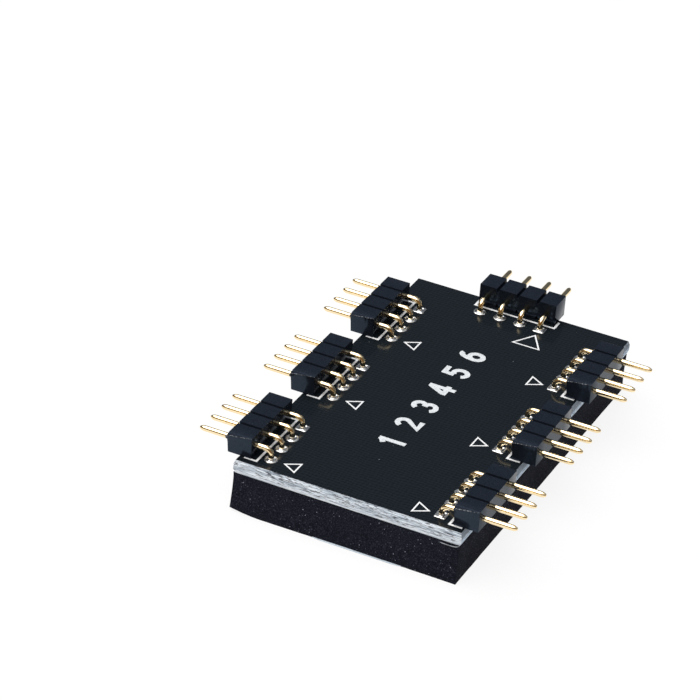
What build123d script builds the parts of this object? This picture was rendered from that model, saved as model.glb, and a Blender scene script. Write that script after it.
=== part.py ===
from build123d import *
from math import atan2, degrees, sqrt
import os

# A lighting splitter hub: a bare circuit board on a foam pad, with right-angle pin headers at its edges.
# Millimetres. X runs across the board, Y from its front edge to its back, Z up from the adhesive face.

# Pins, bent from square wire
pin_width = 0.6
pitch = 2.54
pin_count = 4
pin_reach = 4.0  # outer face of the body to the tip
leg_reach = 1.9  # inner face of the body to the middle of the leg
bend_radius = 0.8  # to the middle of the wire
tip_taper_length = 0.7
tip_taper_depth = 0.17  # taken off each side of the wire
tail_stub = 0.2  # leg that shows below its solder

# Moulded header bodies, each a strip of cells with a notch above and below between neighbours
body_height = 2.54
body_depth = 2.85  # along the pins
notch_width = 0.44
notch_depth = 0.4

# Board, snapped out of a panel along grooves scored in both faces
board_width = 27.2
board_thickness = 1.6
front_margin = 2.2  # front edge to the first pin of the side rows
back_margin = 6.9  # last pin of the side rows to the back edge
pad_inset = 3.4  # board edge to the middle of a row of legs
headers_per_side = 3
header_gap = 5.52  # between neighbouring bodies along a side
input_shift = -0.2  # middle of the back row from the middle of the board
score_depth = 0.48
score_inset = 0.15

# Plated holes and the solder that fills them, eight-sided so that these many small faces stay flat
round_sides = 8
hole_clearance = 0.08  # round the corners of a leg
pad_ring = 0.27  # pad outside its hole
square_pad_ring = 0.2  # the same on the square pad that marks the first pin of each header
waist_ring = 0.06  # solder outside the hole where the fillet steepens
waist_height = 0.14
fillet_edge = 0.03  # solder outside the corners of a leg where the fillet ends
fillet_height = 0.45
foot_ring = 0.15  # fillet under the board, outside its hole
foot_height = 0.4

# Foam pad and the film over its adhesive
foam_thickness = 4.8
foam_inset = 0.1
relief_clearance = 0.3  # round the solder feet and under the tails
liner_thickness = 0.12

# Values worked out from those above
row_length = (pin_count - 1) * pitch
body_length = pin_count * pitch - notch_width  # cut off flush with the end cells
header_spacing = body_length + header_gap
board_length = front_margin + (headers_per_side - 1) * header_spacing + row_length + back_margin
foam_width = board_width - 2 * foam_inset
foam_length = board_length - 2 * foam_inset
foam_top = liner_thickness + foam_thickness
board_top = foam_top + board_thickness
axis_height = body_height / 2  # pins leave their body half way up
tail_length = foot_height + tail_stub
pin_half = pin_width / 2
pin_diagonal = sqrt(2) * pin_width
hole_diameter = pin_diagonal + 2 * hole_clearance
pad_diameter = hole_diameter + 2 * pad_ring
square_pad = hole_diameter + 2 * square_pad_ring
waist_diameter = hole_diameter + 2 * waist_ring
fillet_diameter = pin_diagonal + 2 * fillet_edge
foot_diameter = hole_diameter + 2 * foot_ring


def row_seat(x, y, outward):
    """A frame on the board's top at the middle of a row of legs: x outward, y along the row, z up."""
    return Plane(origin=(x, y, board_top), x_dir=outward, z_dir=(0, 0, 1))


def header_seats():
    """Each header's name and the frame that it stands in."""
    side_x = board_width / 2 - pad_inset
    first_y = front_margin + row_length / 2 - board_length / 2
    seats = {}
    for i in range(headers_per_side):
        y = first_y + i * header_spacing
        seats[f"left_header_{i + 1}"] = row_seat(-side_x, y, (-1, 0, 0))
        seats[f"right_header_{i + 1}"] = row_seat(side_x, y, (1, 0, 0))
    seats["input_header"] = row_seat(input_shift, board_length / 2 - pad_inset, (0, 1, 0))
    return seats


def pin_places():
    """Points along a row, from its middle, of its pins. The first has the square pad."""
    return [(i * pitch - row_length / 2, 0) for i in range(pin_count)]


def level_plane(seat, height):
    """A level plane over the middle of a row of legs, with x along the row."""
    return Plane(seat.from_local_coords((0, 0, height)), x_dir=seat.y_dir, z_dir=seat.z_dir)


def side_plane(seat, along):
    """The upright plane through one pin, with x outward from its leg and y up from the board's top."""
    return Plane(seat.from_local_coords((0, along, 0)), x_dir=seat.x_dir, z_dir=-seat.y_dir)


def face_plane(seat):
    """The upright plane of a body's inner face, with its origin on the line of the pins."""
    return Plane(seat.from_local_coords((leg_reach, 0, axis_height)), x_dir=seat.y_dir, z_dir=seat.x_dir)


def wire_outline():
    """Side view of a bent pin: straight out from the body's middle, and down through the board."""
    tip_x = leg_reach + body_depth + pin_reach
    leg_bottom = -board_thickness - tail_length
    outer_corner = (-pin_half, axis_height + pin_half)
    inner_corner = (pin_half, axis_height - pin_half)
    with BuildSketch() as outline:
        with BuildLine():
            Polyline(
                (tip_x, axis_height + pin_half),
                outer_corner,
                (-pin_half, leg_bottom),
                (pin_half, leg_bottom),
                inner_corner,
                (tip_x, axis_height - pin_half),
                close=True,
            )
        make_face()
        fillet(outline.vertices().sort_by_distance(outer_corner)[0], bend_radius + pin_half)
        fillet(outline.vertices().sort_by_distance(inner_corner)[0], bend_radius - pin_half)
    return outline.sketch


def rounded(diameter):
    """The outline of a hole or of solder round a leg, measured across its flats."""
    return RegularPolygon(diameter / 2, round_sides, major_radius=False)


def slope(wide, narrow, height):
    """The angle, in degrees, of a side that goes from one diameter to another over a height."""
    return degrees(atan2((wide - narrow) / 2, height))


def save(builder, name):
    builder.part.label = name
    export_step(builder.part, f"parts/{name}.step")


def make_board(seats):
    with BuildPart() as board:
        with BuildSketch(Plane.XY.offset(foam_top)):
            Rectangle(board_width, board_length)
        extrude(amount=board_thickness)
        # The grooves leave a bevel along each edge of both faces, and a broken web between them
        for face in board.faces().filter_by(Axis.Z):
            chamfer(face.edges(), length=score_inset, length2=score_depth, reference=face)
        for seat in seats.values():
            with BuildSketch(level_plane(seat, 0)):
                with Locations(*pin_places()):
                    rounded(hole_diameter)
            extrude(amount=-board_thickness, mode=Mode.SUBTRACT)
    save(board, "circuit_board")


def make_foam(seats):
    relief_width = foot_diameter + 2 * relief_clearance
    with BuildPart() as foam:
        with BuildSketch(Plane.XY.offset(liner_thickness)):
            Rectangle(foam_width, foam_length)
        extrude(amount=foam_thickness)
        # The soldered tails of each row press a hollow into the foam
        for seat in seats.values():
            with BuildSketch(level_plane(seat, -board_thickness)):
                Rectangle(row_length + relief_width, relief_width)
            extrude(amount=-tail_length - relief_clearance, mode=Mode.SUBTRACT)
    save(foam, "foam_pad")


def make_liner():
    with BuildPart() as liner:
        with BuildSketch():
            Rectangle(foam_width, foam_length)
        extrude(amount=liner_thickness)
    save(liner, "release_liner")


def make_body(header, seat):
    notch = (notch_width / 2, 0), (0, notch_depth), (-notch_width / 2, 0), (0, -notch_depth)
    with BuildPart() as body:
        with BuildSketch(face_plane(seat)):
            Rectangle(body_length, body_height)
            with GridLocations(pitch, body_height, pin_count - 1, 2):
                Polygon(*notch, mode=Mode.SUBTRACT)
            with Locations(*pin_places()):
                Rectangle(pin_width, pin_width, mode=Mode.SUBTRACT)
        extrude(amount=body_depth)
    save(body, f"{header}_body")


def make_pin(header, seat, number, along):
    with BuildPart() as pin:
        with BuildSketch(side_plane(seat, along)):
            add(wire_outline())
        extrude(amount=pin_half, both=True)
        tip = pin.faces().sort_by(Axis(seat.origin, seat.x_dir))[-1]
        chamfer(tip.edges(), length=tip_taper_depth, length2=tip_taper_length, reference=tip)
    save(pin, f"{header}_pin_{number}")


def make_solder(header, seat):
    first, *others = pin_places()
    rise = fillet_height - waist_height
    with BuildPart() as solder:
        # Filled hole
        with BuildSketch(level_plane(seat, -board_thickness)):
            with Locations(first, *others):
                rounded(hole_diameter)
        extrude(amount=board_thickness)
        # Hollow-sided fillet on the board, low and wide over the pad, then steep up the leg
        with BuildSketch(level_plane(seat, 0)):
            with Locations(first):
                Rectangle(square_pad, square_pad)
        extrude(amount=waist_height, taper=slope(square_pad, waist_diameter, waist_height))
        with BuildSketch(level_plane(seat, 0)):
            with Locations(*others):
                rounded(pad_diameter)
        extrude(amount=waist_height, taper=slope(pad_diameter, waist_diameter, waist_height))
        with BuildSketch(level_plane(seat, waist_height)):
            with Locations(first, *others):
                rounded(waist_diameter)
        extrude(amount=rise, taper=slope(waist_diameter, fillet_diameter, rise))
        # Plain fillet under the board
        with BuildSketch(level_plane(seat, -board_thickness)):
            with Locations(first, *others):
                rounded(foot_diameter)
        extrude(amount=-foot_height, taper=slope(foot_diameter, fillet_diameter, foot_height))
        # The legs pass through
        for along, _ in [first, *others]:
            with BuildSketch(side_plane(seat, along)):
                add(wire_outline())
            extrude(amount=pin_half, both=True, mode=Mode.SUBTRACT)
    save(solder, f"{header}_solder")


os.makedirs("parts", exist_ok=True)
headers = header_seats()
make_board(headers)
make_foam(headers)
make_liner()
for header_name, header_seat in headers.items():
    make_body(header_name, header_seat)
    make_solder(header_name, header_seat)
    for pin_number, (pin_along, _) in enumerate(pin_places(), start=1):
        make_pin(header_name, header_seat, pin_number, pin_along)
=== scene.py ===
import math
import random

import bmesh
import bpy
from mathutils import Matrix, Vector, noise


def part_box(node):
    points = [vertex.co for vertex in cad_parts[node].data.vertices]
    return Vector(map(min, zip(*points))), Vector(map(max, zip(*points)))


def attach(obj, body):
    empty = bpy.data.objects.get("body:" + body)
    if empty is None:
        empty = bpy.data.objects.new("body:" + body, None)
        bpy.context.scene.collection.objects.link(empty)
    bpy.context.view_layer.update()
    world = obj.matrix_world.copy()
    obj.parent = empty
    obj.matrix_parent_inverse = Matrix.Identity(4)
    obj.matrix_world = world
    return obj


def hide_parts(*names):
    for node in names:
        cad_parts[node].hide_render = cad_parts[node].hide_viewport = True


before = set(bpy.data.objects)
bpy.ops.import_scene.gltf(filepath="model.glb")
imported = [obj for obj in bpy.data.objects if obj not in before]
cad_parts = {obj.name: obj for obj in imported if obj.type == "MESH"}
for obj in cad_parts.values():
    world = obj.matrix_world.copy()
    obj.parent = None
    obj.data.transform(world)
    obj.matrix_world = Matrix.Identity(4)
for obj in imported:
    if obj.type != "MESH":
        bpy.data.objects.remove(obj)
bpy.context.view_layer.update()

# Looks of the lighting splitter hub. Lengths are in millimetres, and turn to metres as vertices are written.
MM = 0.001
HEADERS = {
    "left_header_1": Vector((-1, 0, 0)),
    "left_header_2": Vector((-1, 0, 0)),
    "left_header_3": Vector((-1, 0, 0)),
    "right_header_1": Vector((1, 0, 0)),
    "right_header_2": Vector((1, 0, 0)),
    "right_header_3": Vector((1, 0, 0)),
    "input_header": Vector((0, 1, 0)),
}
PINS = (1, 2, 3, 4)
UP = Vector((0, 0, 1))
SEED = 7

# Pins
WIRE_RADIUS = 0.33
WIRE_SIDES = 24
BEND_RADIUS = 0.8
BEND_STEPS = 12
TIP_LENGTH = 0.62
TIP_SCALE = 0.5  # width at the end of the taper, as a share of the wire's
TIP_CURVE = 2.2
TIP_STEPS = 8
TIP_ROUND = 0.05  # length of the rounded end
TIP_END = ((0.018, 0.84), (0.0, 0.5))  # distance from the end, share of the taper's last width
TAIL_CHAMFER = 0.08
TAIL_SCALE = 0.75
WIRE_CREASE = 50  # here and below: degrees, edges steeper than this stay crisp

# Solder
PAD_RADIUS = 0.775
SQUARE_PAD_HALF = 0.7
SQUARE_CORNER = 1.36  # reach of a square pad's clipped corner, as a share of its half width
HOLE_RADIUS = 0.5
RIM_WIDTH = 0.16
RIM_HEIGHT = 0.1
RIM_TURN = 0.62 * math.pi  # how far the rim rolls over
RIM_STEPS = 6
DISH_DEPTH = 0.06
FILLET_START = 0.47
FILLET_HEIGHT = 0.34
FILLET_SHARES = (0.8, 1.15)  # range of each joint's height, as a share of the usual one
FILLET_HOLLOWS = (1.9, 2.6)  # range of the power that hollows its side
FILLET_TOP_RADIUS = 0.345
FILLET_STEPS = 10
FOOT_RADIUS = 0.65
FOOT_HEIGHT = 0.4
FOOT_STEPS = 6
CORE_RADIUS = 0.2
SOLDER_SIDES = 32
SOLDER_LEAN = 0.03
SOLDER_WOBBLE = 0.045
WOBBLE_SCALES = (1.3, 2)  # round the joint, and up it
SOLDER_CREASE = 55

# Header bodies
PITCH = 2.54
NOTCH_WIDTH = 0.38
NOTCH_FLOOR = 0.22
NOTCH_DEPTH = 0.5
BODY_EDGE = 0.035
BODY_CREASE = 40
END_FACING = 0.99  # least share of a normal along the row on an end face

# Snapped near ends of the side bodies. A lip stands out, more to the left, and ends there in a flake
NEAR = Vector((0, -1, 0))
BREAK_STEPS = 60
BREAK_COVER = 0.98  # share of the end's width that the lip spans
SLOW_TEARS = 9  # about how many along an end
FINE_TEARS = 37
LIP_START = 0.05
LIP_GROWTH = 0.5
LIP_RAGGED = 0.015
LIP_DROP = 0.03
LIP_SLOPE = 0.07
LIP_WAVER = 0.02
# Down the lip: drop from its ridge, share of the lip, share of the flake
LIP_PROFILE = ((0.0, 1.0, 1.0), (0.3, 0.85, 0.8), (0.5, 0.7, 0.0), (1.0, 0.45, 0.0))
LIP_SEAT = 0.04  # how deep the lip's edges sit in the body
LIP_TOP_GAP = 0.012
LIP_FOOT = (0.1, 0.03)  # height above the body's underside, and how far it stands out
LIP_ROOT = 0.06
FLAKES = {"left_header_1": 0.24, "left_header_2": 0.22}
SMALL_FLAKE = 0.05
FLAKE_START = 0.84
FLAKE_LEAN = 0.15
FLAKE_DROP = 0.3
RIDGE_SIDES = 6
RIDGE_LEAST = 0.008
RIDGE_THICK = 0.03
RIDGE_RAGGED = 0.05
RIDGE_GROWTH = 0.025

# Foam and film
FOAM_STEP = 0.7
FOAM_LEVELS = 9
FOAM_EDGE = 0.07
FACE_HOLLOW = 0.05
SLOW_WAVE = 0.05
SLOW_SCALES = (0.22, 0.5)  # waves to a millimetre along the face, and up it
SLOW_LAYER = 3.7
FINE_WAVE = 0.022
FINE_SCALE = 2.3
FINE_LAYER = 9.1
FRONT_SHIFT = 40  # keeps the front's waves apart from the sides'
FOAM_CREASE = 48
RELIEF_HALF = 0.95
RELIEF_DEPTH = 0.9
RELIEF_LIP = 0.02
CORNER_LIFT = 0.38
CORNER_REACH = 3.4
CORNER_STRETCH = (0.9, 0.7)
SIDE_BULGE = 0.2
SIDE_FLARE = 0.12
FLARE_CURVE = 1.5
FLARE_REACH = 14.0
FRONT_LEAN = 0.2
LEAN_CURVE = 1.2
FILM_INSET = 0.3
FILM_PROUD = 0.06
FILM_SHOWN_X = 1.6
FILM_SHOWN_HALF = 6.6
FILM_SHOWN_STEEP = 3
FILM_COLUMNS = 54
FILM_ROWS = 4
FILM_BUNCHING = 3  # crowds the rows towards the front edge
FILM_CREASE = 40
FLOOR_GAP = 0.015

# Board. Heights are above its underside
THREAD_PITCH = 0.46
WEB_TOP = (0.28, 0.4)  # where the broken web fades out
SCORE_START = (0.78, 0.86)  # where the upper groove of the sides begins

# Fibre: distance in from the board's right edge, back from its front face, up from its underside, half thickness
FIBRE = (
    (0.15, 0.02, 0.02, 0.04), (0.4, -0.02, -0.2, 0.06), (1.0, -0.04, -0.28, 0.07),
    (1.5, -0.04, -0.25, 0.03), (2.0, -0.05, -0.26, 0.07), (2.5, -0.05, -0.2, 0.02),
)
FIBRE_SIDES = 8
FIBRE_FLATNESS = 0.35
FIBRE_ROUNDS = 2

# Printed marks. Outlines and arrows are placed from a header's legs, and differ by the side it stands on
INK_HEIGHT = 0.018
INK_LAYER = 0.004
MITRE_LIMIT = 1.5
OUTLINE_WIDTH = 0.28
OUTLINE_NEAR = {"left": 1.2, "right": 1.45, "input": 1.2}
OUTLINE_RETURN = 1.5
OUTLINE_BEFORE = {"left": 1.17, "right": 1.17, "input": 1.3}
OUTLINE_AFTER = 1.12
ARROW_WIDTH = 0.24
ARROW_BASE = {"left": -3.28, "right": -3.05, "input": -4.25}
ARROW_TIP = {"left": -1.7, "right": -1.48, "input": -1.5}
ARROW_HALF = {"left": 0.94, "right": 0.98, "input": 1.63}
ARROW_SHIFT = {"left": 0.0, "right": 0.0, "input": -0.08}
WELD_DISTANCE = 0.001
NUMERAL_PEN = 0.62
NUMERAL_X = -0.6
NUMERAL_FIRST_Y = -11.0
NUMERAL_STEP = 4.3

# Stage, in metres
FLOOR_HALF = 4.0
FLOOR_LEVEL = -0.00002
FLOOR_GLOW = 0.88  # share of white that the camera and shiny things see
WALL_TURN = (-0.45, 0.1)  # y of a direction where the front walls end and the back walls begin
CEILING_EDGE = (0.66, 0.86)  # z of a direction where the walls end and the ceiling begins
SOFTBOX_DIRECTION = (-0.3, -0.2, 0.933)
SOFTBOX_DISTANCE = 0.9
SOFTBOX_SIZE = (1.3, 0.9)
SOFTBOX_RADIANCE = 3.05

# Camera, fitted to the photo
CAMERA_PLACE = (129.11339, -321.44268, 217.47746)
CAMERA_FORWARD = (-0.34417262, 0.78794314, -0.51057889)
CAMERA_UP = (-0.27822587, 0.43378701, 0.85698261)
CAMERA_LENS = 186.255
CAMERA_SENSOR = 36.0
CAMERA_CLIP = (0.01, 30.0)


def box_mm(node):
    """The low and high corners of a CAD node's box."""
    low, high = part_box(node)
    return Vector(low) / MM, Vector(high) / MM


def across(outward):
    """The level direction along a header's row, a quarter turn left of its outward direction."""
    return UP.cross(outward)


def add_piece(name, bm, material, smooth=True):
    """Turns a bmesh in millimetres into a piece that rides with the frame."""
    bmesh.ops.scale(bm, vec=(MM, MM, MM), verts=bm.verts)
    bmesh.ops.recalc_face_normals(bm, faces=bm.faces)
    mesh = bpy.data.meshes.new(name)
    bm.to_mesh(mesh)
    bm.free()
    mesh.polygons.foreach_set("use_smooth", [smooth] * len(mesh.polygons))
    mesh.materials.append(material)
    piece = bpy.data.objects.new(name, mesh)
    bpy.context.scene.collection.objects.link(piece)
    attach(piece, "root")
    return piece


def sharpen(piece, degrees):
    """Keeps edges steeper than an angle crisp on a smooth piece."""
    piece.data.set_sharp_from_angle(angle=math.radians(degrees))


def skin(bm, rings, closed_ends=True):
    """Joins rings of points, each with the same count, into a tube."""
    loops = [[bm.verts.new(p) for p in ring] for ring in rings]
    count = len(loops[0])
    for lower, upper in zip(loops, loops[1:]):
        for i in range(count):
            j = (i + 1) % count
            bm.faces.new((lower[i], lower[j], upper[j], upper[i]))
    if closed_ends:
        bm.faces.new(list(reversed(loops[0])))
        bm.faces.new(loops[-1])


class Paint:
    """A node material, with short ways to add nodes. Textures are read in millimetres of the row frame."""

    def __init__(self, name):
        self.material = bpy.data.materials.new(name)
        self.material.use_nodes = True
        self.nodes = self.material.node_tree.nodes
        self.links = self.material.node_tree.links
        self.nodes.clear()
        output = self.nodes.new("ShaderNodeOutputMaterial")
        self.surface = self.nodes.new("ShaderNodeBsdfPrincipled")
        self.links.new(self.surface.outputs["BSDF"], output.inputs["Surface"])
        place = self.nodes.new("ShaderNodeTexCoord")
        self.mm = self.scaled(place.outputs["Object"], (1 / MM, 1 / MM, 1 / MM))

    def put(self, socket, value):
        if isinstance(value, bpy.types.NodeSocket):
            self.links.new(value, socket)
        else:
            socket.default_value = value

    def scaled(self, vector, factors):
        node = self.nodes.new("ShaderNodeVectorMath")
        node.operation = "MULTIPLY"
        self.put(node.inputs[0], vector)
        self.put(node.inputs[1], factors)
        return node.outputs["Vector"]

    def split(self, vector):
        node = self.nodes.new("ShaderNodeSeparateXYZ")
        self.put(node.inputs[0], vector)
        return node.outputs

    def math(self, operation, a, b=0.0):
        node = self.nodes.new("ShaderNodeMath")
        node.operation = operation
        self.put(node.inputs[0], a)
        self.put(node.inputs[1], b)
        return node.outputs[0]

    def noise(self, scale, detail=3.0, rough=0.55, vector=None):
        node = self.nodes.new("ShaderNodeTexNoise")
        self.put(node.inputs["Vector"], vector or self.mm)
        node.inputs["Scale"].default_value = scale
        node.inputs["Detail"].default_value = detail
        node.inputs["Roughness"].default_value = rough
        return node.outputs["Fac"]

    def cells(self, scale):
        node = self.nodes.new("ShaderNodeTexVoronoi")
        self.put(node.inputs["Vector"], self.mm)
        node.inputs["Scale"].default_value = scale
        return node.outputs["Distance"], node.outputs["Color"]

    def span(self, value, low, high, to_low=0.0, to_high=1.0):
        """Spreads a value between two limits over another pair of limits, and holds it there."""
        node = self.nodes.new("ShaderNodeMapRange")
        self.put(node.inputs["Value"], value)
        node.inputs["From Min"].default_value = low
        node.inputs["From Max"].default_value = high
        node.inputs["To Min"].default_value = to_low
        node.inputs["To Max"].default_value = to_high
        return node.outputs["Result"]

    def mix(self, share, first, second):
        node = self.nodes.new("ShaderNodeMix")
        node.data_type = "RGBA"
        sockets = [s for s in node.inputs if s.type == "RGBA"]
        self.put(node.inputs["Factor"], share)
        self.put(sockets[0], first)
        self.put(sockets[1], second)
        return next(s for s in node.outputs if s.type == "RGBA")

    def specks(self, scale, radius, chosen):
        """1 in small dots: one in each chosen cell of a grid of cells."""
        distance, colour = self.cells(scale)
        dot = self.math("LESS_THAN", distance, radius)
        pick = self.math("GREATER_THAN", self.split(colour)[0], chosen)
        return self.math("MULTIPLY", dot, pick)

    def bump(self, height, depth):
        """A normal from a height of 0 to 1 that stands for a depth in millimetres."""
        node = self.nodes.new("ShaderNodeBump")
        node.inputs["Strength"].default_value = 1.0
        node.inputs["Distance"].default_value = depth * MM
        self.put(node.inputs["Height"], height)
        return node.outputs["Normal"]

    def finish(self, colour, rough, normal=None, **fixed):
        self.put(self.surface.inputs["Base Color"], colour)
        self.put(self.surface.inputs["Roughness"], rough)
        if normal is not None:
            self.put(self.surface.inputs["Normal"], normal)
        for name, value in fixed.items():
            self.surface.inputs[name.replace("_", " ")].default_value = value
        return self.material


def shade(red, green, blue):
    """A linear colour for a node's socket."""
    return (red, green, blue, 1.0)


def board_paint():
    """Black solder mask over glass cloth on the faces, and pale snapped laminate on the edges."""
    p = Paint("solder_mask_board")
    underside = box_mm("circuit_board")[0].z
    mask_dark, mask_light = shade(0.0042, 0.006, 0.0078), shade(0.0134, 0.0186, 0.024)
    dust = shade(0.12, 0.13, 0.14)
    glass_dark, glass_light, fleck = shade(0.34, 0.41, 0.49), shade(0.82, 0.89, 0.96), shade(0.06, 0.065, 0.085)
    web_dark, web_light = shade(0.56, 0.64, 0.74), shade(0.9, 0.95, 1.0)
    side_blue, groove_grey = shade(0.5, 0.7, 0.92), shade(0.15, 0.165, 0.19)
    x, y, z = p.split(p.mm)
    thread = 2 * math.pi / THREAD_PITCH
    wander = p.math("MULTIPLY", p.noise(0.45, 3.0), 11.0)
    warp = p.math("SINE", p.math("ADD", p.math("MULTIPLY", x, thread), wander))
    weft = p.math("SINE", p.math("ADD", p.math("MULTIPLY", y, thread), wander))
    crossed = p.math("ADD", p.math("MULTIPLY", warp, 0.35), p.math("MULTIPLY", weft, 0.65))
    weave = p.span(crossed, -1.0, 1.0)
    grain = p.noise(3.1, 4.0)
    cloth = p.math("ADD", p.math("MULTIPLY", weave, 0.5), p.math("MULTIPLY", grain, 0.5))
    mask = p.mix(cloth, mask_dark, mask_light)
    mask = p.mix(p.specks(0.5, 0.035, 0.86), mask, dust)

    # Torn glass: long level threads, dark flecks between them, and a whiter web below the scored groove
    threads = p.noise(1.0, 4.0, 0.6, p.scaled(p.mm, (0.4, 0.4, 8.5)))
    flecks = p.noise(1.0, 3.0, 0.55, p.scaled(p.mm, (1.5, 1.5, 13.0)))
    patches = p.noise(0.55, 2.0)
    pale = p.mix(p.span(threads, 0.38, 0.6), glass_dark, glass_light)
    torn = p.math("MULTIPLY", p.span(flecks, 0.535, 0.585), p.span(patches, 0.36, 0.52, 0.55, 1.0))
    pale = p.mix(p.math("MULTIPLY", torn, 0.92), pale, fleck)
    web = p.span(z, underside + WEB_TOP[0], underside + WEB_TOP[1], 0.7, 0.0)
    pale = p.mix(web, pale, p.mix(p.span(threads, 0.42, 0.55), web_dark, web_light))

    facing = p.nodes.new("ShaderNodeNewGeometry")
    facing_x, _, facing_z = p.split(facing.outputs["True Normal"])
    edge = p.math("LESS_THAN", p.math("ABSOLUTE", facing_z), 0.7)
    # The side edges are bluer, and greyer in their upper groove
    side = p.math("GREATER_THAN", p.math("ABSOLUTE", facing_x), 0.5)
    pale = p.mix(p.math("MULTIPLY", side, 0.4), pale, side_blue)
    groove = p.span(z, underside + SCORE_START[0], underside + SCORE_START[1])
    scored = p.math("MULTIPLY", side, groove)
    pale = p.mix(p.math("MULTIPLY", scored, 0.72), pale, groove_grey)
    rough_mask = p.span(grain, 0.3, 0.7, 0.1, 0.17)
    rough = p.math("MAXIMUM", rough_mask, p.math("MULTIPLY", edge, 0.6))
    height = p.math("ADD", p.math("MULTIPLY", cloth, 0.07), p.math("MULTIPLY", edge, threads))
    return p.finish(p.mix(edge, mask, pale), rough, p.bump(height, 0.05), Specular_IOR_Level=0.12)


def plastic_paint():
    """Black moulded header plastic, shiny enough to mirror the pins, with a fine speckle."""
    p = Paint("header_plastic")
    dark, light, dust = shade(0.006, 0.008, 0.0124), shade(0.0165, 0.0215, 0.032), shade(0.09, 0.1, 0.12)
    grain = p.noise(8.0, 4.0, 0.7)
    cloud = p.noise(0.8, 2.0)
    colour = p.mix(p.specks(1.7, 0.045, 0.9), p.mix(p.span(grain, 0.35, 0.7), dark, light), dust)
    rough = p.span(cloud, 0.3, 0.7, 0.1, 0.18)
    # A low index with a strong tint keeps the tops glossy and the faces seen at a slant from turning white
    gloss = {"Specular_IOR_Level": 0.07, "Specular_Tint": shade(2.9, 4.1, 5.7)}
    return p.finish(colour, rough, p.bump(grain, 0.0015), **gloss)


def snapped_paint():
    """The same plastic where the strip was broken off: rough, and whitened in places."""
    p = Paint("snapped_plastic")
    black, whitened = shade(0.012, 0.0145, 0.02), shade(0.34, 0.36, 0.4)
    grain = p.noise(7.0, 4.0, 0.7)
    colour = p.mix(p.span(grain, 0.5, 0.6), black, whitened)
    return p.finish(colour, p.span(grain, 0.3, 0.7, 0.4, 0.6), p.bump(grain, 0.03), Specular_IOR_Level=0.2)


def pin_paint():
    """Bright gold flash with the faint marks of drawn wire."""
    p = Paint("gold_flash")
    gold, pale_gold = shade(0.97, 0.76, 0.43), shade(1.0, 0.85, 0.58)
    drawn = p.noise(4.0, 3.0, 0.6)
    colour = p.mix(p.span(drawn, 0.35, 0.7), gold, pale_gold)
    rough = p.span(drawn, 0.3, 0.7, 0.04, 0.08)
    return p.finish(colour, rough, p.bump(drawn, 0.0012), Metallic=1.0)


def solder_paint():
    """Bright tin, a little clouded."""
    p = Paint("solder_tin")
    grey, bright = shade(0.68, 0.69, 0.7), shade(0.88, 0.88, 0.86)
    cloud = p.noise(2.4, 3.0)
    fine = p.noise(14.0, 2.0)
    colour = p.mix(p.span(cloud, 0.35, 0.7), grey, bright)
    rough = p.span(fine, 0.3, 0.7, 0.2, 0.36)
    return p.finish(colour, rough, p.bump(cloud, 0.03), Metallic=1.0)


def foam_paint():
    """Closed-cell foam: fine dark cells with small dull cut walls, and small bright specks that are painted
    glints.
    """
    p = Paint("black_foam")
    deep, dark, lit = shade(0.0046, 0.0054, 0.0102), shade(0.0072, 0.0083, 0.0145), shade(0.03, 0.032, 0.048)
    dull_wall, painted_glint = shade(0.07, 0.076, 0.104), shade(0.36, 0.38, 0.46)
    distance, _ = p.cells(8.5)
    fine = p.noise(6.0, 3.0, 0.7)
    cloud = p.noise(0.5, 2.0)
    colour = p.mix(p.span(cloud, 0.3, 0.7), deep, dark)
    colour = p.mix(p.span(fine, 0.46, 0.68), colour, lit)
    colour = p.mix(p.specks(4.0, 0.22, 0.8), colour, dull_wall)
    # Painted glints: small bright specks in the base colour that stand in for light catching the foam's cells
    colour = p.mix(p.specks(3.0, 0.14, 0.88), colour, painted_glint)
    height = p.math("ADD", p.math("MULTIPLY", distance, 0.8), p.math("MULTIPLY", fine, 0.5))
    rough = p.span(fine, 0.3, 0.7, 0.7, 0.95)
    return p.finish(colour, rough, p.bump(height, 0.05), Specular_IOR_Level=0.05)


def film_paint():
    """Pale blue release film."""
    p = Paint("release_film")
    cloud = p.noise(0.6, 3.0)
    colour = p.mix(cloud, shade(0.6, 0.72, 0.84), shade(0.78, 0.86, 0.93))
    return p.finish(colour, p.span(cloud, 0.3, 0.7, 0.3, 0.5), p.bump(cloud, 0.02))


def ink_paint():
    """White ink of the outlines and arrows."""
    p = Paint("white_ink")
    grain = p.noise(7.0, 4.0, 0.65)
    colour = p.mix(p.span(grain, 0.3, 0.7), shade(0.72, 0.735, 0.75), shade(0.93, 0.935, 0.94))
    return p.finish(colour, p.span(grain, 0.3, 0.7, 0.45, 0.65), p.bump(grain, 0.008))


def worn_ink_paint():
    """The greyer ink of the numerals."""
    p = Paint("worn_white_ink")
    grain = p.noise(5.0, 4.0, 0.7)
    colour = p.mix(p.span(grain, 0.32, 0.6), shade(0.48, 0.51, 0.53), shade(0.74, 0.77, 0.79))
    return p.finish(colour, p.span(grain, 0.3, 0.7, 0.45, 0.65), p.bump(grain, 0.01))


def fibre_paint():
    """Torn glass threads, dark between."""
    p = Paint("torn_glass_fibre")
    threads = p.noise(1.0, 3.0, 0.6, p.scaled(p.mm, (1.6, 6.0, 12.0)))
    colour = p.mix(p.span(threads, 0.4, 0.6), shade(0.08, 0.09, 0.11), shade(0.5, 0.55, 0.6))
    return p.finish(colour, p.span(threads, 0.3, 0.7, 0.4, 0.65), p.bump(threads, 0.02))


def circle(radius, sides):
    """Points round a circle, flat."""
    return [
        Vector((radius * math.cos(angle), radius * math.sin(angle)))
        for angle in (2 * math.pi * i / sides for i in range(sides))
    ]


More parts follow.
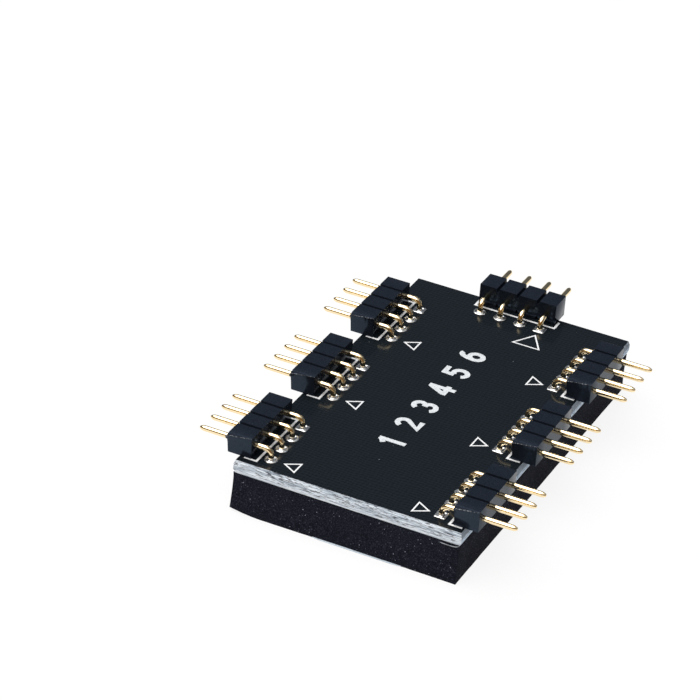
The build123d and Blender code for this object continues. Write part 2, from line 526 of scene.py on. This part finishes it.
class Leg:
    """Where one pin stands, read from its CAD node."""

    def __init__(self, header, number):
        self.outward = HEADERS[header]
        self.along = across(self.outward)
        low, high = box_mm(f"{header}_pin_{number}")
        middle = (low + high) / 2
        size = high - low
        self.half = abs(size.dot(self.along)) / 2
        length = abs(size.dot(self.outward))
        self.foot = middle - self.outward * (length / 2 - self.half)
        self.foot.z = low.z
        self.reach = length - self.half
        self.axis = high.z - self.half


def wire_path(leg):
    """Steps along a pin from the bottom of its leg: outward, height, angle from upright, share of its width."""
    bottom, axis = leg.foot.z, leg.axis
    path = [(0, bottom, 0, TAIL_SCALE), (0, bottom + TAIL_CHAMFER, 0, 1), (0, axis - BEND_RADIUS, 0, 1)]
    for i in range(1, BEND_STEPS + 1):
        angle = i / BEND_STEPS * math.pi / 2
        path.append((
            BEND_RADIUS * (1 - math.cos(angle)), axis - BEND_RADIUS * (1 - math.sin(angle)), angle, 1,
        ))
    shoulder = leg.reach - TIP_LENGTH
    path.append((shoulder, axis, math.pi / 2, 1))
    for i in range(1, TIP_STEPS + 1):
        share = i / TIP_STEPS
        narrow = 1 - (1 - TIP_SCALE) * share ** TIP_CURVE
        path.append((shoulder + (TIP_LENGTH - TIP_ROUND) * share, axis, math.pi / 2, narrow))
    for back, share in TIP_END:
        path.append((leg.reach - back, axis, math.pi / 2, TIP_SCALE * share))
    return path


def make_pin(header, number, material):
    """A pin of round wire, in place of the square one."""
    leg = Leg(header, number)
    section = circle(WIRE_RADIUS, WIRE_SIDES)
    rings = []
    for out, height, angle, share in wire_path(leg):
        centre = Vector((leg.foot.x, leg.foot.y, height)) + leg.outward * out
        lift = -math.cos(angle) * leg.outward + math.sin(angle) * UP
        rings.append([centre + share * (leg.along * p.x + lift * p.y) for p in section])
    bm = bmesh.new()
    skin(bm, rings)
    piece = add_piece(f"{header}_wire_{number}", bm, material)
    sharpen(piece, WIRE_CREASE)
    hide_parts(f"{header}_pin_{number}")


def square_radius(angle, half):
    """Distance from the middle of a square to its side, with the corners taken off a little."""
    return min(half / max(abs(math.cos(angle)), abs(math.sin(angle))), half * SQUARE_CORNER)


def solder_rings(top, thickness, square, dice):
    """Rings of solder from under the board to the top of its fillet: radius, height, whether square."""
    bottom = top - thickness
    rings = [(CORE_RADIUS, bottom - FOOT_HEIGHT, False)]
    for i in range(FOOT_STEPS + 1):
        share = i / FOOT_STEPS
        radius = FILLET_TOP_RADIUS + (FOOT_RADIUS - FILLET_TOP_RADIUS) * share ** 2
        rings.append((radius, bottom - FOOT_HEIGHT * (1 - share), False))
    rings += [(HOLE_RADIUS, bottom, False), (HOLE_RADIUS, top, False)]
    edge = SQUARE_PAD_HALF if square else PAD_RADIUS
    for i in range(RIM_STEPS + 1):
        angle = i / RIM_STEPS * RIM_TURN
        rings.append((edge - RIM_WIDTH * (1 - math.cos(angle)), top + RIM_HEIGHT * math.sin(angle), square))
    height = FILLET_HEIGHT * dice.uniform(*FILLET_SHARES)
    hollow = dice.uniform(*FILLET_HOLLOWS)
    dish = top + RIM_HEIGHT - DISH_DEPTH
    for i in range(FILLET_STEPS + 1):
        share = i / FILLET_STEPS
        radius = FILLET_TOP_RADIUS + (FILLET_START - FILLET_TOP_RADIUS) * (1 - share) ** hollow
        rings.append((radius, dish + (height - RIM_HEIGHT) * share, False))
    rings.append((CORE_RADIUS, top + height, False))
    return rings


def make_solder(header, material, dice):
    """A header's four joints, each a little different, with a square pad at the first pin."""
    low, high = box_mm("circuit_board")
    across_scale, up_scale = WOBBLE_SCALES
    bm = bmesh.new()
    for number in PINS:
        leg = Leg(header, number)
        phase = dice.uniform(0, 50)
        lean = Vector((dice.uniform(-SOLDER_LEAN, SOLDER_LEAN), dice.uniform(-SOLDER_LEAN, SOLDER_LEAN), 0))
        rings = []
        for radius, height, square in solder_rings(high.z, high.z - low.z, number == 1, dice):
            ring = []
            for i in range(SOLDER_SIDES):
                angle = (i + 0.5) / SOLDER_SIDES * 2 * math.pi
                reach = square_radius(angle, radius) if square else radius
                around = Vector((math.cos(angle), math.sin(angle), 0))
                uneven = noise.noise((around.x * across_scale + phase, around.y * across_scale, height * up_scale))
                shift = lean if height > high.z + RIM_HEIGHT else Vector((0, 0, 0))
                place = Vector((leg.foot.x, leg.foot.y, height)) + shift
                ring.append(place + around * reach * (1 + SOLDER_WOBBLE * uneven))
            rings.append(ring)
        skin(bm, rings)
    piece = add_piece(f"{header}_joints", bm, material)
    sharpen(piece, SOLDER_CREASE)
    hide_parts(f"{header}_solder")


def body_outline(half_length, height):
    """End view of a strip of cells, anticlockwise from its lower left corner: along the row, up."""
    wide, narrow = NOTCH_WIDTH / 2, NOTCH_FLOOR / 2
    slot = [(-wide, 0), (-narrow, NOTCH_DEPTH), (narrow, NOTCH_DEPTH), (wide, 0)]
    below = [(-half_length, 0)]
    for i in range(len(PINS) - 1):
        below += [((i - 1) * PITCH + a, h) for a, h in slot]
    below.append((half_length, 0))
    return below + [(-a, height - h) for a, h in below]


def make_body(header, material):
    """A strip of cells with steeper notches and softer ends than the solid's."""
    outward = HEADERS[header]
    along = across(outward)
    low, high = box_mm(f"{header}_body")
    middle = (low + high) / 2
    size = high - low
    half_length = abs(size.dot(along)) / 2
    half_depth = abs(size.dot(outward)) / 2
    outline = body_outline(half_length, size.z)
    rings = []
    for side in (-1, 1):
        face = Vector((middle.x, middle.y, low.z)) + outward * half_depth * side
        rings.append([face + along * a + UP * h for a, h in outline])
    bm = bmesh.new()
    skin(bm, rings)
    bmesh.ops.recalc_face_normals(bm, faces=bm.faces)
    end_faces = [f for f in bm.faces if abs(f.normal.dot(along)) > END_FACING and f.calc_area() > size.z]
    rounded = {edge for f in end_faces for edge in f.edges}
    bmesh.ops.bevel(
        bm, geom=list(rounded), offset=BODY_EDGE, offset_type="OFFSET", segments=2, profile=0.5,
        affect="EDGES", clamp_overlap=True,
    )
    piece = add_piece(f"{header}_moulding", bm, material)
    sharpen(piece, BODY_CREASE)
    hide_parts(f"{header}_body")


def make_breaks(header, plastic, snapped, dice):
    """The near end of a side body, snapped off its strip: a lip, a ragged ridge along it, and a corner flake."""
    outward = HEADERS[header]
    low, high = box_mm(f"{header}_body")
    middle = (low + high) / 2
    half_length = abs((high - low).dot(across(outward))) / 2
    half_depth = abs((high - low).dot(outward)) / 2
    phase = dice.uniform(0, 90)
    web_rings = []
    ridge_rings = []
    for i in range(BREAK_STEPS + 1):
        share = i / BREAK_STEPS
        root = middle + NEAR * half_length + Vector((BREAK_COVER * half_depth * (1 - 2 * share), 0, 0))
        tear = noise.noise((share * SLOW_TEARS + phase, 0, 0))
        fine = noise.noise((share * FINE_TEARS + phase, 5, 0))
        flake = FLAKES.get(header, SMALL_FLAKE) * max(0.0, (share - FLAKE_START) / (1 - FLAKE_START))
        tip_x = root.x - FLAKE_LEAN * flake
        lip = LIP_START + LIP_GROWTH * share + LIP_RAGGED * tear
        top = high.z - LIP_DROP - LIP_SLOPE * share - LIP_WAVER * tear - FLAKE_DROP * flake
        ring = [Vector((root.x, root.y, high.z - LIP_TOP_GAP)) - NEAR * LIP_SEAT]
        for drop, lip_share, flake_share in LIP_PROFILE:
            place = Vector((tip_x if flake_share else root.x, root.y, top - drop))
            ring.append(place + NEAR * (lip_share * lip + flake_share * flake))
        foot_height, foot_out = LIP_FOOT
        ring.append(Vector((root.x, root.y, low.z + foot_height)) + NEAR * foot_out)
        ring.append(Vector((root.x, root.y, low.z + LIP_ROOT)) - NEAR * LIP_SEAT)
        web_rings.append(ring)
        thick = max(RIDGE_LEAST, RIDGE_THICK + RIDGE_RAGGED * fine + RIDGE_GROWTH * share)
        crest = Vector((tip_x, root.y, top)) + NEAR * (lip + flake)
        ridge_rings.append([crest + NEAR * p.x + UP * p.y for p in circle(thick, RIDGE_SIDES)])
    web = bmesh.new()
    skin(web, web_rings)
    ridge = bmesh.new()
    skin(ridge, ridge_rings)
    sharpen(add_piece(f"{header}_web", web, plastic), BODY_CREASE)
    add_piece(f"{header}_break", ridge, snapped)


def grid_lines(low, high, step, lips):
    """Even lines between two limits, moved out of the way of the given ones."""
    count = round((high - low) / step)
    even = [low + (high - low) * i / count for i in range(count + 1)]
    kept = [v for v in even if v in (low, high) or all(abs(v - lip) > step / 4 for lip in lips)]
    return sorted(kept + lips)


def reliefs():
    """Rectangles, as low x, high x, low y and high y, where a row of tails presses into the foam."""
    areas = []
    for header in HEADERS:
        feet = [Leg(header, number).foot for number in PINS]
        xs = [f.x for f in feet]
        ys = [f.y for f in feet]
        areas.append((
            min(xs) - RELIEF_HALF, max(xs) + RELIEF_HALF, min(ys) - RELIEF_HALF, max(ys) + RELIEF_HALF,
        ))
    return areas


def corner_lift(x, y, low):
    """How far the pad's front left corner has come up off the surface."""
    distance = math.hypot((x - low.x) * CORNER_STRETCH[0], (y - low.y) * CORNER_STRETCH[1])
    return CORNER_LIFT * max(0.0, 1 - distance / CORNER_REACH) ** 2


def cut_wave(along, up):
    """Unevenness of a cut foam face: slow waves and fine tearing."""
    slow = noise.noise((along * SLOW_SCALES[0], up * SLOW_SCALES[1], SLOW_LAYER))
    fine = noise.noise((along * FINE_SCALE, up * FINE_SCALE, FINE_LAYER))
    return SLOW_WAVE * slow + FINE_WAVE * fine


def foam_place(x, y, z, low, high):
    """Moves a point of the plain block to where the cut and pressed foam has it."""
    depth = (high.z - z) / (high.z - low.z)
    crown = math.sin(math.pi * min(1.0, max(0.0, depth)))
    place = Vector((x, y, z))
    at_x = x in (low.x, high.x)
    at_y = y in (low.y, high.y)
    at_z = z in (low.z, high.z)
    side_x = -1 if x == low.x else 1
    side_y = -1 if y == low.y else 1
    if at_x:
        rounding = FOAM_EDGE if at_z or at_y else 0
        place.x += side_x * (cut_wave(y, z) - FACE_HOLLOW * crown - rounding)
    if at_y:
        rounding = FOAM_EDGE if at_z or at_x else 0
        place.y += side_y * (cut_wave(x + FRONT_SHIFT, z) - FACE_HOLLOW * crown - rounding)
    if x == low.x:
        place.x -= (SIDE_BULGE + SIDE_FLARE * depth ** FLARE_CURVE) * math.exp(-(y - low.y) / FLARE_REACH)
    if y == low.y:
        place.y -= FRONT_LEAN * depth ** LEAN_CURVE
    if z == low.z and (at_x or at_y):
        covered = film_inset(x) / FILM_INSET if y == low.y and not at_x else 1.0
        place.z -= (low.z - FLOOR_GAP) * covered
    place.z += corner_lift(x, y, low) * depth
    return place


def make_foam(material):
    """The cut pad as one skin over a grid, with a hollow under each row of tails."""
    low, high = box_mm("foam_pad")
    areas = reliefs()
    lips_x = sorted({e + d for a in areas for e in a[:2] for d in (-RELIEF_LIP, RELIEF_LIP)})
    lips_y = sorted({e + d for a in areas for e in a[2:] for d in (-RELIEF_LIP, RELIEF_LIP)})
    xs = grid_lines(low.x, high.x, FOAM_STEP, lips_x)
    ys = grid_lines(low.y, high.y, FOAM_STEP, lips_y)
    zs = [low.z + (high.z - low.z) * k / FOAM_LEVELS for k in range(FOAM_LEVELS + 1)]
    zs[-1] = high.z
    last_x, last_y, last_z = len(xs) - 1, len(ys) - 1, len(zs) - 1
    bm = bmesh.new()
    made = {}

    def corner(i, j, k):
        if (i, j, k) not in made:
            x, y, z = xs[i], ys[j], zs[k]
            pressed = k == last_z and any(a[0] < x < a[1] and a[2] < y < a[3] for a in areas)
            place = foam_place(x, y, z, low, high)
            if pressed:
                place.z -= RELIEF_DEPTH
            made[i, j, k] = bm.verts.new(place)
        return made[i, j, k]

    def add_face(*places):
        bm.faces.new([corner(*place) for place in places])

    for i in range(last_x):
        for j in range(last_y):
            for k in (0, last_z):
                add_face((i, j, k), (i + 1, j, k), (i + 1, j + 1, k), (i, j + 1, k))
    for k in range(last_z):
        for i in range(last_x):
            for j in (0, last_y):
                add_face((i, j, k), (i + 1, j, k), (i + 1, j, k + 1), (i, j, k + 1))
        for j in range(last_y):
            for i in (0, last_x):
                add_face((i, j, k), (i, j + 1, k), (i, j + 1, k + 1), (i, j, k + 1))
    piece = add_piece("foam_block", bm, material)
    sharpen(piece, FOAM_CREASE)
    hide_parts("foam_pad")


def film_inset(x):
    """How far the film's front edge stays under the foam: cut a little askew, it shows right of the middle."""
    shown = max(0.0, 1 - abs(x - FILM_SHOWN_X) / FILM_SHOWN_HALF)
    return FILM_INSET * (1 - min(1.0, shown * FILM_SHOWN_STEEP))


def make_film(material):
    """The release film, two skins of a grid with their edges joined."""
    low, high = box_mm("release_liner")
    count, rows = FILM_COLUMNS, FILM_ROWS
    bm = bmesh.new()
    levels = []
    for z in (low.z, high.z):
        grid = []
        for j in range(rows + 1):
            line = []
            for i in range(count + 1):
                x = low.x + FILM_INSET + (high.x - low.x - 2 * FILM_INSET) * i / count
                front = low.y - FRONT_LEAN - FILM_PROUD + film_inset(x)
                y = front + (high.y - FILM_INSET - front) * (j / rows) ** FILM_BUNCHING
                place = Vector((x, y, z + corner_lift(x, y, low)))
                line.append(bm.verts.new(place))
            grid.append(line)
        levels.append(grid)
    lower, upper = levels
    for grid in levels:
        for j in range(rows):
            for i in range(count):
                bm.faces.new((grid[j][i], grid[j][i + 1], grid[j + 1][i + 1], grid[j + 1][i]))
    for j in (0, rows):
        for i in range(count):
            bm.faces.new((lower[j][i], lower[j][i + 1], upper[j][i + 1], upper[j][i]))
    for i in (0, count):
        for j in range(rows):
            bm.faces.new((lower[j][i], lower[j + 1][i], upper[j + 1][i], upper[j][i]))
    piece = add_piece("release_film", bm, material)
    sharpen(piece, FILM_CREASE)
    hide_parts("release_liner")


def mitred(points, offset, closed):
    """A line's points moved sideways by an offset, with square corners."""
    moved = []
    count = len(points)
    for i, point in enumerate(points):
        before = points[i - 1] if closed or i > 0 else None
        after = points[(i + 1) % count] if closed or i < count - 1 else None
        pairs = [(a, b) for a, b in ((before, point), (point, after)) if a is not None and b is not None]
        ways = [(b - a).normalized() for a, b in pairs]
        sides = [Vector((-w.y, w.x)) for w in ways]
        if len(sides) == 1:
            moved.append(point + sides[0] * offset)
        else:
            bisector = (sides[0] + sides[1]).normalized()
            moved.append(point + bisector * offset * min(MITRE_LIMIT, 1 / bisector.dot(sides[0])))
    return moved


def add_stroke(bm, points, width, top, height=INK_HEIGHT, closed=False):
    """A printed line with a little height on the board's face."""
    points = [Vector(p) for p in points]
    left = mitred(points, width / 2, closed)
    right = mitred(points, -width / 2, closed)
    rings = []
    for a, b in zip(left, right):
        rings.append([
            Vector((a.x, a.y, top)), Vector((b.x, b.y, top)),
            Vector((b.x, b.y, top + height)), Vector((a.x, a.y, top + height)),
        ])
    if closed:
        rings.append(rings[0])
        skin(bm, rings, closed_ends=False)
    else:
        skin(bm, rings)


def make_marks(material):
    """Outline of each header, and an arrow at the front end of a side row or the right end of the input's."""
    top = box_mm("circuit_board")[1].z
    for header, outward in HEADERS.items():
        side = header.split("_")[0]
        first = Leg(header, 1).foot.to_2d()
        last = Leg(header, PINS[-1]).foot.to_2d()
        out = outward.to_2d()
        way = (last - first).normalized()
        start = first - way * OUTLINE_BEFORE[side]
        end = last + way * OUTLINE_AFTER
        near = OUTLINE_NEAR[side]
        far = near + OUTLINE_RETURN
        bm = bmesh.new()
        box = [start + out * far, start + out * near, end + out * near, end + out * far]
        add_stroke(bm, box, OUTLINE_WIDTH, top)
        marked = (last if side == "left" else first) + way * ARROW_SHIFT[side]
        corners = [
            marked + out * ARROW_BASE[side] - way * ARROW_HALF[side],
            marked + out * ARROW_BASE[side] + way * ARROW_HALF[side],
            marked + out * ARROW_TIP[side],
        ]
        add_stroke(bm, corners, ARROW_WIDTH, top, closed=True)
        bmesh.ops.remove_doubles(bm, verts=bm.verts, dist=WELD_DISTANCE)
        add_piece(f"{header}_print", bm, material, smooth=False)


def arc(middle, radii, start, end, steps=22):
    """Points along part of an ellipse, with angles in degrees."""
    points = []
    for i in range(steps + 1):
        angle = math.radians(start + (end - start) * i / steps)
        points.append((middle[0] + radii[0] * math.cos(angle), middle[1] + radii[1] * math.sin(angle)))
    return points


def numeral_strokes():
    """Plain numerals as lines to be drawn with a broad pen, in millimetres from the middle of each."""
    return {
        "1": [[(0.12, 1.6), (0.12, -1.6)], [(-0.62, 0.82), (0.1, 1.3)]],
        "2": [arc((0, 0.58), (0.69, 0.71), 165, -28) + [(-0.6, -1.29), (1.0, -1.29)]],
        "3": [arc((-0.03, 0.63), (0.68, 0.66), 160, -90), arc((-0.03, -0.6), (0.72, 0.69), 90, -160)],
        "4": [[(0.38, 1.6), (0.38, -1.6)], [(0.3, 1.4), (-0.72, -0.5)], [(-1.0, -0.62), (1.0, -0.62)]],
        "5": [[(0.85, 1.29), (-0.52, 1.29), (-0.6, 0.1)], arc((-0.02, -0.48), (0.71, 0.81), 128, -160)],
        "6": [arc((0, -0.5), (0.69, 0.79), 0, 360, 40), arc((0.1, -0.45), (0.79, 1.74), 182, 72)],
    }


def make_numerals(material):
    """Plain numbers down the middle of the board, in place of printed words."""
    top = box_mm("circuit_board")[1].z
    for index, (digit, strokes) in enumerate(numeral_strokes().items()):
        middle = Vector((NUMERAL_X, NUMERAL_FIRST_Y + NUMERAL_STEP * index))
        bm = bmesh.new()
        for layer, stroke in enumerate(strokes):
            points = [middle + Vector((-up, right)) for right, up in stroke]
            add_stroke(bm, points, NUMERAL_PEN, top, INK_HEIGHT + layer * INK_LAYER)
        add_piece(f"numeral_{digit}", bm, material, smooth=False)


def make_fibre(material):
    """A sliver of glass cloth that hangs off the board's lower front edge near its right corner."""
    low, high = box_mm("circuit_board")
    rings = []
    for inward, back, up, half in FIBRE:
        centre = Vector((high.x - inward, low.y + back, low.z + up))
        rings.append([centre + Vector((0, FIBRE_FLATNESS * p.x, p.y)) for p in circle(half, FIBRE_SIDES)])
    bm = bmesh.new()
    skin(bm, rings)
    piece = add_piece("torn_fibre", bm, material)
    piece.modifiers.new("soft", "SUBSURF").levels = FIBRE_ROUNDS


def set_floor():
    """A white floor that the camera and shiny things see as white, with the object's soft shadow on it."""
    mesh = bpy.data.meshes.new("floor")
    corners = [(x * FLOOR_HALF, y * FLOOR_HALF, FLOOR_LEVEL) for x, y in ((-1, -1), (1, -1), (1, 1), (-1, 1))]
    mesh.from_pydata(corners, [], [(0, 1, 2, 3)])
    floor = bpy.data.objects.new("floor", mesh)
    bpy.context.scene.collection.objects.link(floor)
    material = bpy.data.materials.new("floor_white")
    material.use_nodes = True
    nodes, links = material.node_tree.nodes, material.node_tree.links
    nodes.clear()
    output = nodes.new("ShaderNodeOutputMaterial")
    diffuse = nodes.new("ShaderNodeBsdfDiffuse")
    diffuse.inputs["Color"].default_value = shade(0.9, 0.9, 0.9)
    glow = nodes.new("ShaderNodeEmission")
    glow.inputs["Strength"].default_value = 1.0
    path = nodes.new("ShaderNodeLightPath")
    seen = nodes.new("ShaderNodeMath")
    seen.operation = "MAXIMUM"
    links.new(path.outputs["Is Camera Ray"], seen.inputs[0])
    links.new(path.outputs["Is Glossy Ray"], seen.inputs[1])
    clear = nodes.new("ShaderNodeMath")
    clear.operation = "MAXIMUM"
    links.new(seen.outputs[0], clear.inputs[0])
    links.new(path.outputs["Is Transmission Ray"], clear.inputs[1])
    share = nodes.new("ShaderNodeMath")
    share.operation = "MULTIPLY"
    share.inputs[1].default_value = FLOOR_GLOW
    links.new(clear.outputs[0], share.inputs[0])
    mix = nodes.new("ShaderNodeMixShader")
    links.new(share.outputs[0], mix.inputs[0])
    links.new(diffuse.outputs[0], mix.inputs[1])
    links.new(glow.outputs[0], mix.inputs[2])
    links.new(mix.outputs[0], output.inputs["Surface"])
    mesh.materials.append(material)


def set_world():
    """A studio that is dim round about, warmer in front than behind, and light overhead."""
    front_walls, back_walls = shade(0.17, 0.105, 0.045), shade(0.11, 0.122, 0.145)
    ceiling = shade(0.75, 0.76, 0.78)
    world = bpy.data.worlds.new("studio")
    bpy.context.scene.world = world
    world.use_nodes = True
    nodes, links = world.node_tree.nodes, world.node_tree.links
    nodes.clear()
    output = nodes.new("ShaderNodeOutputWorld")
    background = nodes.new("ShaderNodeBackground")
    place = nodes.new("ShaderNodeTexCoord")
    direction = nodes.new("ShaderNodeSeparateXYZ")
    links.new(place.outputs["Generated"], direction.inputs[0])

    def blend(axis, start, end, first, second):
        """A mix of two colours by one part of the direction. The first may be the result of another mix."""
        share = nodes.new("ShaderNodeMapRange")
        share.inputs["From Min"].default_value = start
        share.inputs["From Max"].default_value = end
        links.new(direction.outputs[axis], share.inputs["Value"])
        mix = nodes.new("ShaderNodeMix")
        mix.data_type = "RGBA"
        links.new(share.outputs["Result"], mix.inputs["Factor"])
        colours = [s for s in mix.inputs if s.type == "RGBA"]
        if isinstance(first, bpy.types.NodeSocket):
            links.new(first, colours[0])
        else:
            colours[0].default_value = first
        colours[1].default_value = second
        return next(s for s in mix.outputs if s.type == "RGBA")

    walls = blend("Y", *WALL_TURN, front_walls, back_walls)
    links.new(blend("Z", *CEILING_EDGE, walls, ceiling), background.inputs["Color"])
    links.new(background.outputs[0], output.inputs["Surface"])


def add_softbox():
    """One wide lamp overhead, a little to the left and in front."""
    data = bpy.data.lights.new("softbox", "AREA")
    data.shape = "RECTANGLE"
    data.size, data.size_y = SOFTBOX_SIZE
    data.energy = SOFTBOX_RADIANCE * math.pi * data.size * data.size_y
    lamp = bpy.data.objects.new("softbox", data)
    place = Vector(SOFTBOX_DIRECTION).normalized() * SOFTBOX_DISTANCE
    lamp.location = place
    lamp.rotation_euler = (-place).to_track_quat("-Z", "Y").to_euler()
    bpy.context.scene.collection.objects.link(lamp)


def set_camera():
    """The camera of the photo."""
    data = bpy.data.cameras.new("photo_camera")
    data.sensor_fit = "HORIZONTAL"
    data.sensor_width = CAMERA_SENSOR
    data.lens = CAMERA_LENS
    data.clip_start, data.clip_end = CAMERA_CLIP
    forward, up = Vector(CAMERA_FORWARD), Vector(CAMERA_UP)
    place = Vector(CAMERA_PLACE) * MM
    camera = bpy.data.objects.new("photo_camera", data)
    turn = Matrix((forward.cross(up), up, -forward)).transposed()
    camera.matrix_world = Matrix.Translation(place) @ turn.to_4x4()
    bpy.context.scene.collection.objects.link(camera)
    bpy.context.scene.camera = camera


dice = random.Random(SEED)
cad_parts["circuit_board"].material_slots[0].material = board_paint()
plastic, metal, tin, ink = plastic_paint(), pin_paint(), solder_paint(), ink_paint()
snapped = snapped_paint()
for header_name in HEADERS:
    make_body(header_name, plastic)
    if header_name != "input_header":
        make_breaks(header_name, plastic, snapped, dice)
    make_solder(header_name, tin, dice)
    for pin_number in PINS:
        make_pin(header_name, pin_number, metal)
make_foam(foam_paint())
make_film(film_paint())
make_marks(ink)
make_numerals(worn_ink_paint())
make_fibre(fibre_paint())

set_floor()
set_world()
add_softbox()
set_camera()
bpy.context.scene.view_settings.view_transform = "Standard"
